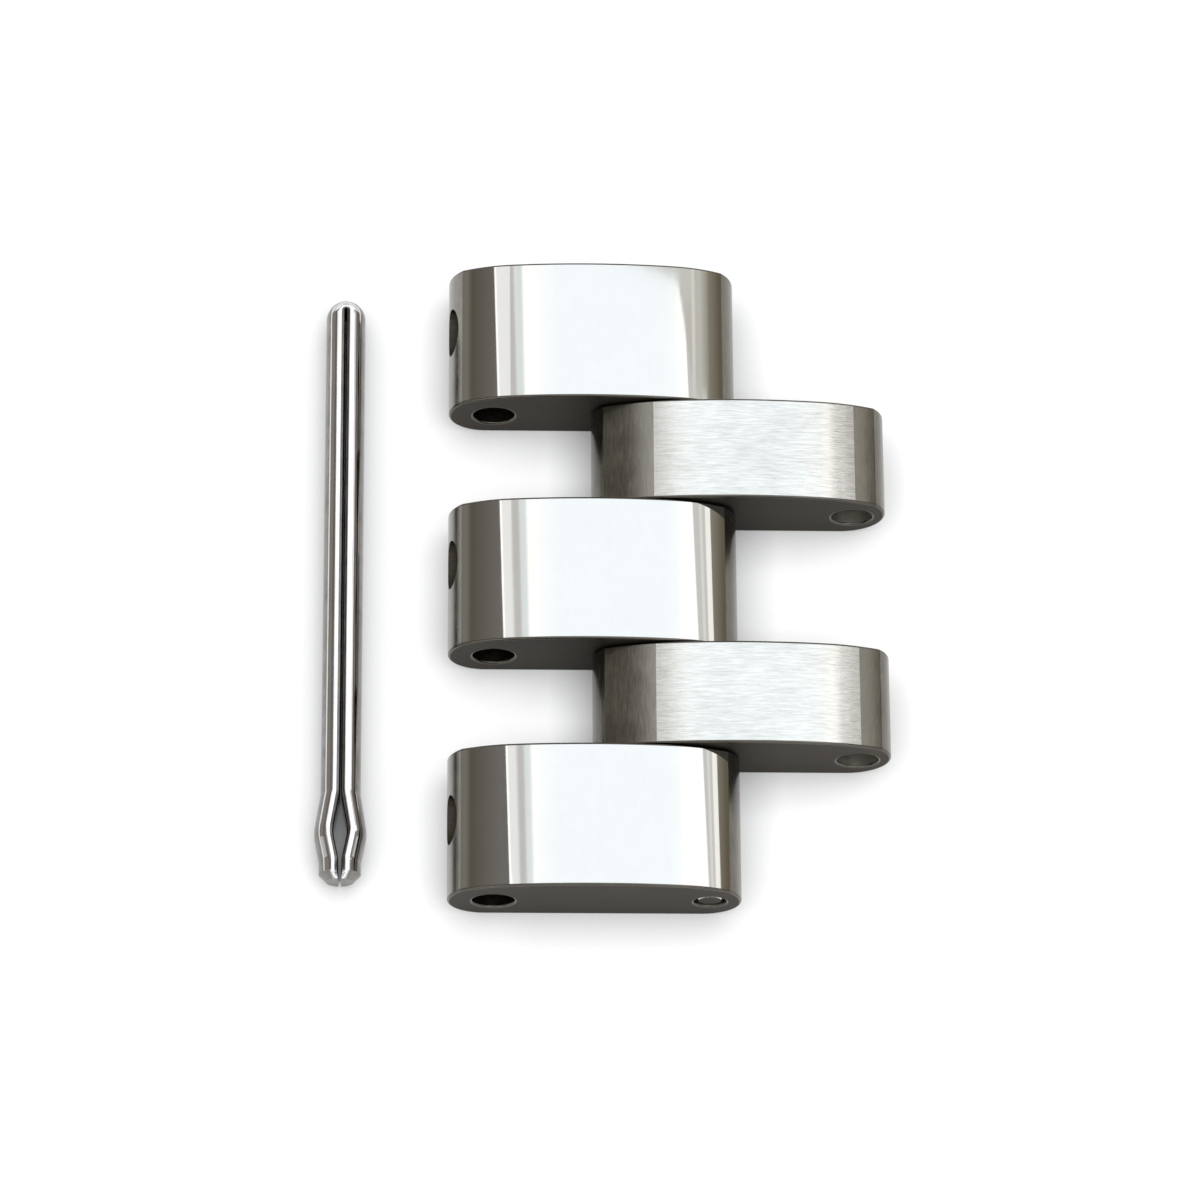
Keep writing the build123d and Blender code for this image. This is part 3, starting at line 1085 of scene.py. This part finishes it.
@dataclass(frozen=True)
class SplitPin(SteelPiece):
    """The loose pin: half-round wire folded back on itself, with a spring bulge near its tips.

    crest_drop and crest_rise shape the low crest along each leg, as shares of its height there, and
    flank_lean is the upward part of a face's normal below which it counts as flank. chamfer_shares
    are the points of the run within the tips' chamfer, as shares of it.
    """

    name: str = "folded_split_pin"
    node: str = "split_pin"
    body: str = "loose_pin"
    slot: str = "pin_steel"
    radius: float = 0.60 * MM
    length: float = 18.80 * MM
    seam_gap: float = 0.04 * MM
    seam_edge_radius: float = 0.10 * MM
    bulge_width: float = 1.594 * MM
    tip_gap: float = 0.10 * MM
    split_reach: float = 2.68 * MM
    bulge_reach: float = 1.48 * MM
    closing_reach: float = 0.63 * MM
    bend_radius: float = 0.90 * MM
    tip_chamfer: float = 0.22 * MM
    crest_drop: float = 0.22
    crest_rise: float = 1.12
    seam_reach: float = 0.20 * MM
    flank_lean: float = 0.62
    finish: SteelFinish = DRAWN
    # The flanks' darker tint is painted shade.
    flank: SteelFinish = FLANK_PAINTED_SHADE
    bend_steps: int = 8
    fold_steps: int = 32
    chamfer_shares: tuple[float, float] = (0.5, 1.0)

    @property
    def run_offset(self) -> float:
        """Distance of the swept line from the pin's axis, inside each half-round leg."""
        return self.radius / 2

    def leg_line(self, tip_y: float) -> list[Vector]:
        """Follows the axis of the leg on the +X side, from its tip to the fold.

        Args:
            tip_y: place of the tips along the pin.

        Returns:
            Points relative to the pin's axis, with the bends rounded.
        """
        bulge = self.bulge_width / 2 - self.radius
        closed = (self.tip_gap - self.seam_gap) / 2
        fold_y = tip_y + self.length - self.radius
        corners = [
            Vector((closed, tip_y)), Vector((closed, tip_y + self.closing_reach)),
            Vector((bulge, tip_y + self.bulge_reach)), Vector((0.0, tip_y + self.split_reach)),
            Vector((0.0, fold_y)),
        ]
        cut_steps = [Vector((closed, tip_y + self.tip_chamfer * share))
                     for share in self.chamfer_shares]
        line = [corners[0], *cut_steps]
        for before, corner, after in zip(corners, corners[1:], corners[2:]):
            line += self.bend(before, corner, after)
        return [*line, corners[-1]]

    def bend(self, before: Vector, corner: Vector, after: Vector) -> list[Vector]:
        """Rounds one corner of the leg's line.

        Args:
            before: the point before the corner.
            corner: the corner itself.
            after: the point after the corner.

        Returns:
            Points on the arc that replaces the corner.
        """
        arriving, leaving = (corner - before).normalized(), (after - corner).normalized()
        turn = arriving.angle(leaving)
        side = 1 if arriving.cross(leaving) > 0 else -1
        start = corner - arriving * self.bend_radius * math.tan(turn / 2)
        inwards = Vector((-arriving.y, arriving.x)) * side
        centre = start + inwards * self.bend_radius
        steps = [side * turn * i / self.bend_steps for i in range(self.bend_steps + 1)]
        return [centre + Matrix.Rotation(step, 2) @ (start - centre) for step in steps]

    def run(self, tip_y: float) -> list[Vector]:
        """Follows the wire inside its section from one tip, round the fold, to the other.

        Args:
            tip_y: place of the tips along the pin.

        Returns:
            Points relative to the pin's axis.
        """
        line = self.leg_line(tip_y)
        leg = []
        for i, point in enumerate(line):
            ahead = line[min(i + 1, len(line) - 1)] - line[max(i - 1, 0)]
            unit = ahead.normalized()
            leg.append(point + Vector((unit.y, -unit.x)) * self.run_offset)
        leg[-1].y = line[-1].y
        angles = [math.pi * i / self.fold_steps for i in range(1, self.fold_steps)]
        fold = [
            Vector((math.cos(a), math.sin(a))) * self.run_offset + Vector((0.0, line[-1].y))
            for a in angles
        ]
        return leg + fold + [Vector((-point.x, point.y)) for point in reversed(leg)]

    def build(self, tree: WireTree, materials: Materials) -> bpy.types.Object:
        """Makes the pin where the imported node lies, and puts it in the node's place.

        Args:
            tree: the nodes that turn the run into the pin.
            materials: the material of each finish.

        Returns:
            The finished object.
        """
        low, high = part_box(self.node)
        values = {
            "Wire Radius": self.radius, "Run Offset": self.run_offset,
            "Seam Gap": self.seam_gap, "Seam Edge Radius": self.seam_edge_radius,
            "Tip Chamfer": self.tip_chamfer,
            "Tip Radius": self.radius + (self.tip_gap - self.seam_gap) / 2,
            "Tip Place": low.y, "Crest Drop": self.crest_drop, "Crest Rise": self.crest_rise,
            "Seam Reach": self.seam_reach, "Fold Place": low.y + self.length - self.radius,
            "Flank Lean": self.flank_lean,
            "Axis": ((low.x + high.x) / 2, 0.0, self.radius),
            "Finish": materials[self.finish], "Flank Finish": materials[self.flank],
        }
        return self.make_from_line(self.run(low.y), False, tree, values)


@dataclass(frozen=True)
class HingePin(SteelPiece):
    """The plain pin through the five pieces, with a chamfer at both ends."""

    name: str = "turned_hinge_pin"
    node: str = "hinge_pin"
    body: str = "outer_pieces"
    slot: str = "pin_steel"
    chamfer: float = 0.14 * MM
    wall_finish: SteelFinish = DRAWN
    # The ends take the side faces' finish, whose dark tint is painted shade.
    end_finish: SteelFinish = TUMBLED_PAINTED_SHADE
    steps: int = 72

    def build(self, materials: Materials) -> bpy.types.Object:
        """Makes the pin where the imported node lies, and puts it in the node's place.

        Args:
            materials: the material of each finish.

        Returns:
            The finished object.
        """
        low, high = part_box(self.node)
        centre, radius = (low + high) / 2, (high.x - low.x) / 2
        half = (high.y - low.y) / 2
        end = radius - self.chamfer
        profile = [(end, -half), (radius, self.chamfer - half), (radius, half - self.chamfer),
                   (end, half)]
        mesh = bmesh.new()
        turns = [2 * math.pi * i / self.steps for i in range(self.steps)]
        rings = []
        for reach, along in profile:
            rings.append([
                mesh.verts.new(centre + Vector((reach * math.cos(a), along, reach * math.sin(a))))
                for a in turns
            ])
        for ring, after in zip(rings, rings[1:]):
            for i in range(self.steps):
                j = (i + 1) % self.steps
                mesh.faces.new((ring[i], after[i], after[j], ring[j]))
        ends = [mesh.faces.new(rings[0]), mesh.faces.new(reversed(rings[-1]))]
        for end_face in ends:
            end_face.material_index = 1
        bmesh.ops.recalc_face_normals(mesh, faces=mesh.faces)
        data = bpy.data.meshes.new(self.name)
        mesh.to_mesh(data)
        mesh.free()
        for finish in (self.wall_finish, self.end_finish):
            data.materials.append(materials[finish])
        shade_by_area(data)
        piece = bpy.data.objects.new(self.name, data)
        bpy.context.scene.collection.objects.link(piece)
        return self.stand_in(piece)


@dataclass(frozen=True)
class Card:
    """A lit or dark card of the studio, given by the directions that it fills.

    along is its reach from overhead towards +X, and across that towards +Y, in degrees. Its colour
    runs from the first to the second over fade. lean turns its two edges along X, in degrees for
    each degree across, where the crowns of the polished pieces mirror them.
    """

    along: tuple[float, float]
    across: tuple[float, float]
    colours: tuple[str, str]
    strength: float = 1.0
    fade: tuple[float, float] = (-180.0, 180.0)
    blur: float = 0.6
    lean: tuple[float, float] = (0.0, 0.0)

    def share(self, tree: bpy.types.NodeTree, along: bpy.types.Node, across: bpy.types.Node,
              leaning: bpy.types.Node) -> bpy.types.Node:
        """Works out how much of a direction's light is the card's.

        Args:
            tree: the world's nodes.
            along: the node that gives the direction's angle from overhead towards +X.
            across: the node that gives its angle from overhead towards +Y.
            leaning: the node that gives how far it is from the middle of the mirrored band.

        Returns:
            The node that gives 1 on the card and 0 off it.
        """
        share: Any = 1.0
        for reach, span, leans in ((along, self.along, self.lean),
                                   (across, self.across, (0.0, 0.0))):
            for edge, lean, rising in zip(span, leans, (1, -1)):
                blur = math.radians(self.blur) * rising
                leant = add_node(tree, "ShaderNodeMath", {"operation": "MULTIPLY_ADD"},
                                 {0: leaning, 1: -lean, 2: reach})
                ramp = add_node(
                    tree, "ShaderNodeMapRange", {"interpolation_type": "SMOOTHSTEP"},
                    {"Value": leant, "From Min": math.radians(edge) - blur,
                     "From Max": math.radians(edge) + blur},
                )
                share = add_node(tree, "ShaderNodeMath", {"operation": "MULTIPLY"},
                                 {0: ramp, 1: share})
        return share

    def tint(self, tree: bpy.types.NodeTree, along: bpy.types.Node) -> bpy.types.Node:
        """Gives the card's light, which runs from its first colour to its second.

        Args:
            tree: the world's nodes.
            along: the node that gives a direction's angle from overhead towards +X.

        Returns:
            The node whose result is the light.
        """
        faded = add_node(
            tree, "ShaderNodeMapRange", None,
            {"Value": along, "From Min": math.radians(self.fade[0]),
             "From Max": math.radians(self.fade[1])},
        )
        first, second = (scaled(linear(hex_colour), self.strength) for hex_colour in self.colours)
        return add_node(tree, "ShaderNodeMix", {"data_type": "RGBA"},
                        {0: faded, 6: first, 7: second})


# Reaches of the studio's cards across the bracelet, in degrees from overhead towards +Y. Seen from
# the photograph's side, the crowns mirror one narrow band, and the back pieces the last part of it.
MIRRORED_BAND = (16.4, 25.6)
MIRRORED_AT_BACK = (22.6, 27.5)
ROUND_THE_BAND = (9.0, 33.0)
BEHIND = (38.0, 78.0)
IN_FRONT = (-75.0, -30.0)
OVERHEAD = (-38.0, 41.0)
WHITE = ("#FFFFFF", "#FFFFFF")


@dataclass(frozen=True)
class Studio:
    """The floor, the soft light round the object and the camera.

    The studio is pale all round, in its surround colour. The first four cards are soft boxes, the
    next four are dark, and the others are what the crowns mirror, drawn one over the other. Their
    edges lean within lean_reach of lean_middle, in degrees from overhead towards +Y.

    floor_lift is the floor's glow, which only the camera, mirrors and clear pieces see, and which
    fades within contact_reach of a piece.
    """

    floor_size: float = 1.2
    floor_drop: float = 0.002 * MM
    floor_colour: str = "#ADADAC"
    floor_lift: float = 0.72
    contact_reach: float = 1.6 * MM
    contact_samples: int = 8
    light_level: float = 1.15
    surround: str = "#DAD9D6"
    lean_middle: float = 21.0
    lean_reach: float = 4.5
    cards: tuple[Card, ...] = (
        Card((28.0, 68.0), BEHIND, WHITE, 1.4, blur=5.0),
        Card((-68.0, -28.0), BEHIND, WHITE, 1.4, blur=5.0),
        Card((20.0, 60.0), IN_FRONT, WHITE, 1.4, blur=5.0),
        Card((-60.0, -20.0), IN_FRONT, WHITE, 1.4, blur=5.0),
        Card((-110.0, -21.6), ROUND_THE_BAND, ("#6B675D", "#888581"), fade=(-48.0, -22.0),
             lean=(0.0, -2.0)),
        Card((-110.0, -51.0), ROUND_THE_BAND, ("#8D897D", "#8D897D"), blur=3.0),
        Card((48.0, 110.0), ROUND_THE_BAND, ("#A7A293", "#777061"), fade=(48.0, 60.0),
             lean=(-1.2, 0.0)),
        Card((27.0, 48.0), ROUND_THE_BAND, ("#8A867B", "#8A867B")),
        Card((-21.6, -10.4), MIRRORED_BAND, ("#FBFBFD", "#F7F8F9"), 1.45, (-21.0, -14.0),
             lean=(-2.0, -0.3)),
        Card((-21.6, -20.2), MIRRORED_BAND, WHITE, 1.95, blur=0.3, lean=(-2.0, -2.0)),
        Card((-13.2, -11.6), MIRRORED_BAND, ("#EDEDED", "#EDEDED"), blur=0.4, lean=(-0.4, -0.4)),
        Card((-11.6, -10.4), MIRRORED_BAND, ("#F5FEFF", "#F5FEFF"), 1.25, blur=0.3,
             lean=(-0.3, -0.3)),
        Card((34.0, 48.0), MIRRORED_BAND, ("#FDFDFC", "#FEFEFC"), 0.95, lean=(-2.4, -1.2)),
        Card((39.0, 41.5), MIRRORED_BAND, ("#FFFFFD", "#FFFFFD"), 1.15, blur=0.4,
             lean=(-1.6, -1.5)),
        Card((44.2, 49.0), MIRRORED_BAND, ("#FFFEFA", "#FFFEFA"), 1.5, blur=0.4,
             lean=(-1.3, -1.2)),
        Card((-8.0, 27.0), OVERHEAD, WHITE, 1.80, blur=2.0),
        Card((-10.4, 34.0), MIRRORED_BAND, WHITE, 1.80, blur=0.3, lean=(-0.3, -2.4)),
        Card((-8.0, 19.0), OVERHEAD, ("#F2F9FF", "#F2F9FF"), 1.77, blur=4.0),
        Card((52.1, 49.0), MIRRORED_AT_BACK, ("#EBEAE3", "#A9A594"), 1.0, (41.0, 50.0), blur=0.3,
             lean=(-9.7, 0.0)),
        Card((136.6, 36.0), (23.9, 27.5), ("#F6F7F2", "#F6F7F2"), blur=0.05,
             lean=(-37.0, 0.0)),
        Card((33.5, 36.5), MIRRORED_AT_BACK, ("#FDFCF6", "#FDFCF6"), 1.08, blur=0.5),
    )
    tilt: float = 20.78
    turn: float = -5.90
    roll: float = -5.94
    distance: float = 164.5 * MM
    aim: tuple[float, float, float] = (-1.902 * MM, 0.016 * MM, 0.0)
    aim_pixels_per_mm: float = 32.774
    clip_factor: int = 20

    def build(self) -> None:
        """Makes the floor, the world and the camera."""
        self.build_floor()
        self.build_world()
        self.build_camera()
        bpy.context.scene.view_settings.view_transform = "Standard"

    def build_floor(self) -> None:
        """Makes the pale floor, which keeps the object's soft shadow."""
        half = self.floor_size / 2
        mesh = bpy.data.meshes.new("floor")
        corners = [(x, y, -self.floor_drop) for x, y in
                   ((-half, -half), (half, -half), (half, half), (-half, half))]
        mesh.from_pydata(corners, [], [(0, 1, 2, 3)])
        floor = bpy.data.objects.new("floor", mesh)
        bpy.context.scene.collection.objects.link(floor)
        made = bpy.data.materials.new("matt_white_paper")
        made.use_nodes = True
        tree = made.node_tree
        tree.nodes.clear()
        paper = add_node(tree, "ShaderNodeBsdfDiffuse", None, {0: linear(self.floor_colour)})
        path = add_node(tree, "ShaderNodeLightPath")
        seen = path.outputs["Is Camera Ray"]
        for kind in ("Is Glossy Ray", "Is Transmission Ray"):
            seen = add_node(tree, "ShaderNodeMath", {"operation": "MAXIMUM"},
                            {0: seen, 1: path.outputs[kind]}).outputs[0]
        contact = add_node(tree, "ShaderNodeAmbientOcclusion",
                           {"samples": self.contact_samples}, {"Distance": self.contact_reach})
        strength = add_node(tree, "ShaderNodeMath", {"operation": "MULTIPLY"},
                            {0: contact.outputs["AO"], 1: self.floor_lift})
        lift = add_node(tree, "ShaderNodeMath", {"operation": "MULTIPLY"},
                        {0: seen, 1: strength})
        glow = add_node(tree, "ShaderNodeEmission", None, {"Strength": lift})
        both = add_node(tree, "ShaderNodeAddShader", None, {0: paper, 1: glow})
        add_node(tree, "ShaderNodeOutputMaterial", None, {"Surface": both})
        mesh.materials.append(made)

    def build_world(self) -> None:
        """Makes the soft light as cards round the object."""
        world = bpy.data.worlds.new("studio")
        world.use_nodes = True
        tree = world.node_tree
        tree.nodes.clear()
        way = add_node(tree, "ShaderNodeSeparateXYZ", None,
                       {0: add_node(tree, "ShaderNodeTexCoord").outputs["Generated"]})
        along = add_node(tree, "ShaderNodeMath", {"operation": "ARCTAN2"},
                         {0: way.outputs[0], 1: way.outputs[2]})
        across = add_node(tree, "ShaderNodeMath", {"operation": "ARCSINE"}, {0: way.outputs[1]})
        leaning = self.leaning(tree, across)
        colour = add_node(tree, "ShaderNodeMix", {"data_type": "RGBA"},
                          {0: 0.0, 6: linear(self.surround)})
        for card in self.cards:
            share = card.share(tree, along, across, leaning)
            tint = card.tint(tree, along)
            colour = add_node(tree, "ShaderNodeMix", {"data_type": "RGBA"},
                              {0: share, 6: colour.outputs[2], 7: tint.outputs[2]})
        studio = add_node(tree, "ShaderNodeBackground", None,
                          {0: colour.outputs[2], "Strength": self.light_level})
        add_node(tree, "ShaderNodeOutputWorld", None, {"Surface": studio})
        bpy.context.scene.world = world

    def leaning(self, tree: bpy.types.NodeTree, across: bpy.types.Node) -> bpy.types.Node:
        """Measures how far a direction is from the middle of the mirrored band.

        Args:
            tree: the world's nodes.
            across: the node that gives a direction's angle from overhead towards +Y.

        Returns:
            The node that gives the difference, or 0 away from the band.
        """
        middle = math.radians(self.lean_middle)
        past_middle = add_node(tree, "ShaderNodeMath", {"operation": "SUBTRACT"},
                               {0: across, 1: middle})
        mirrored = add_node(tree, "ShaderNodeMath", {"operation": "COMPARE"},
                            {0: across, 1: middle, 2: math.radians(self.lean_reach)})
        return add_node(tree, "ShaderNodeMath", {"operation": "MULTIPLY"},
                        {0: past_middle, 1: mirrored})

    def build_camera(self) -> None:
        """Puts the camera at the photograph's angle, with its field of view."""
        data = bpy.data.cameras.new("camera")
        camera = bpy.data.objects.new("camera", data)
        bpy.context.scene.collection.objects.link(camera)
        focal_pixels = self.aim_pixels_per_mm * self.distance / MM
        data.lens = focal_pixels / PHOTO_PIXELS * data.sensor_width
        data.clip_start = self.distance / self.clip_factor
        data.clip_end = self.distance * self.clip_factor
        lean = Matrix.Rotation(math.radians(self.tilt), 4, "X")
        turn = Matrix.Rotation(math.radians(self.turn), 4, "Z")
        roll = Matrix.Rotation(math.radians(-self.roll), 4, "Z")
        back = Matrix.Translation((0.0, 0.0, self.distance))
        camera.matrix_world = Matrix.Translation(self.aim) @ turn @ lean @ back @ roll
        bpy.context.scene.camera = camera


def main() -> None:
    """Builds the link, the pins and the studio, and reports each piece."""
    logging.basicConfig(level=logging.INFO, format="%(name)s: %(message)s")
    finishes = (MIRROR, BRUSHED, GROUND, GROUND_PAINTED_SHADE, EDGE_PAINTED_SHADE, TUMBLED_PAINTED_SHADE, DRILLED_PAINTED_SHADE, REAMED, DRAWN, FLANK_PAINTED_SHADE)
    materials = {finish: finish.material() for finish in finishes}
    tree = LinkTree()
    made = [piece.build(tree, materials) for piece in BraceletLink().pieces()]
    made += [HingePin().build(materials), SplitPin().build(WireTree(), materials)]
    for piece in made:
        log.info("%s: %d faces", piece.name, len(piece.data.polygons))
    Studio().build()


if __name__ == "__main__":
    main()
